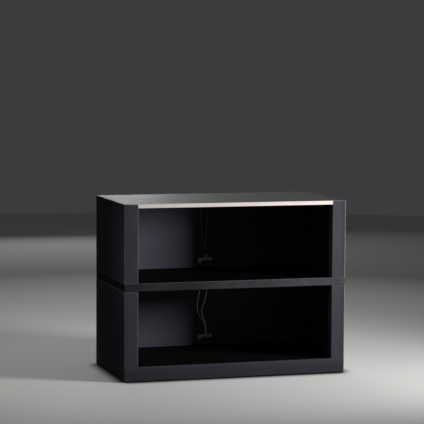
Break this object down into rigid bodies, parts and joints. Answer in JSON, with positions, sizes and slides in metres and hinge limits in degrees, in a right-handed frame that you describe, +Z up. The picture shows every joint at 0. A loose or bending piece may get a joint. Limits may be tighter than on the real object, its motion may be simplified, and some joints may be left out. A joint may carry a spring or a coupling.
{
  "type": "open-front cabinet",
  "caption": "Low free-standing cabinet with an open front: an upper and a lower bay between thick stiles, a recessed middle board, a metal top edge, bay lights with leads, and levelling feet.",
  "frame": {"origin": "on the floor, under the middle of the cabinet's width and depth", "axes": "+X to the right as seen from the open front, +Y towards the back panel, +Z up"},
  "size_m": [0.9, 0.46, 0.687],
  "materials": {
    "lacquered_board": "fibreboard in a dark grey satin lacquer",
    "black_board": "fibreboard in a black satin lacquer",
    "raw_board": "raw fibreboard",
    "beech": "plain beech",
    "satin_trim": "bright satin aluminium",
    "channel_aluminium": "anodised aluminium",
    "zinc_steel": "bright zinc plate",
    "lamp_tape": "white circuit tape",
    "opal_plastic": "opal diffuser",
    "pale_plastic": "pale moulding",
    "lead_sheath": "pale sheath",
    "grommet_rubber": "black rubber",
    "foot_plastic": "black moulding"
  },
  "bodies": {
    "cabinet": {"back_brackets": "zinc_steel", "base_back_rail": "lacquered_board", "base_corner_blocks": "raw_board", "base_deck": "lacquered_board", "base_front_rail": "lacquered_board", "base_left_rail": "lacquered_board", "base_right_rail": "lacquered_board", "bracket_screws": "zinc_steel", "connector_screws": "zinc_steel", "foot_inserts": "zinc_steel", "lower_back_panel": "lacquered_board", "lower_back_screws": "zinc_steel", "lower_connector_block": "pale_plastic", "lower_dowels": "beech", "lower_lead_grommets": "grommet_rubber", "lower_lead_plug": "pale_plastic", "lower_left_lead": "lead_sheath", "lower_left_side": "lacquered_board", "lower_left_stile": "lacquered_board", "lower_light_caps": "pale_plastic", "lower_light_channel": "channel_aluminium", "lower_light_diffuser": "opal_plastic", "lower_light_tape": "lamp_tape", "lower_right_lead": "lead_sheath", "lower_right_side": "lacquered_board", "lower_right_stile": "lacquered_board", "middle_board": "black_board", "supply_grommets": "grommet_rubber", "top_panel": "lacquered_board", "top_trim": "satin_trim", "upper_back_panel": "lacquered_board", "upper_back_screws": "zinc_steel", "upper_connector_block": "pale_plastic", "upper_dowels": "beech", "upper_lead_grommets": "grommet_rubber", "upper_lead_plug": "pale_plastic", "upper_left_lead": "lead_sheath", "upper_left_side": "lacquered_board", "upper_left_stile": "lacquered_board", "upper_light_caps": "pale_plastic", "upper_light_channel": "channel_aluminium", "upper_light_diffuser": "opal_plastic", "upper_light_tape": "lamp_tape", "upper_right_lead": "lead_sheath", "upper_right_side": "lacquered_board", "upper_right_stile": "lacquered_board", "wall_brackets": "zinc_steel"},
    "foot_front_left": {"foot_front_left_pad": "foot_plastic", "foot_front_left_stem": "zinc_steel"},
    "foot_front_right": {"foot_front_right_pad": "foot_plastic", "foot_front_right_stem": "zinc_steel"},
    "foot_back_left": {"foot_back_left_pad": "foot_plastic", "foot_back_left_stem": "zinc_steel"},
    "foot_back_right": {"foot_back_right_pad": "foot_plastic", "foot_back_right_stem": "zinc_steel"}
  },
  "joints": [
    {"name": "foot_front_left_height", "type": "slide", "parent": "cabinet", "child": "foot_front_left", "axis": [0, 0, -1], "range_m": [0, 0.012]},
    {"name": "foot_front_right_height", "type": "slide", "parent": "cabinet", "child": "foot_front_right", "axis": [0, 0, -1], "range_m": [0, 0.012]},
    {"name": "foot_back_left_height", "type": "slide", "parent": "cabinet", "child": "foot_back_left", "axis": [0, 0, -1], "range_m": [0, 0.012]},
    {"name": "foot_back_right_height", "type": "slide", "parent": "cabinet", "child": "foot_back_right", "axis": [0, 0, -1], "range_m": [0, 0.012]}
  ]
}
